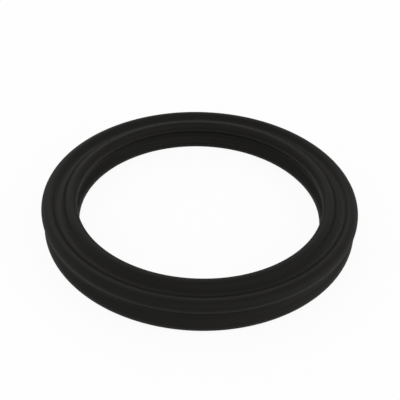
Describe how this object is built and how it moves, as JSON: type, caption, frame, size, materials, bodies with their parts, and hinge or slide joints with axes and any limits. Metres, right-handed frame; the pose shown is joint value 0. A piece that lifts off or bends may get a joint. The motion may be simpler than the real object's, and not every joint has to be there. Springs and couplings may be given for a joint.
{
  "type": "lobed oil seal ring",
  "caption": "Black rubber seal ring of square section, with a round sealing lobe in each corner and a hollow valley along the middle of each side.",
  "frame": {"origin": "centre of the ring, on its axis at mid height", "axes": "+Z along the ring's axis, up from the surface it lies on; the ring is the same all the way round, so +X and +Y are any two radial directions at right angles"},
  "size_m": [0.046, 0.046, 0.005],
  "materials": {
    "black_rubber": "satin"
  },
  "bodies": {
    "root": {"seal_ring": "black_rubber"}
  },
  "joints": []
}
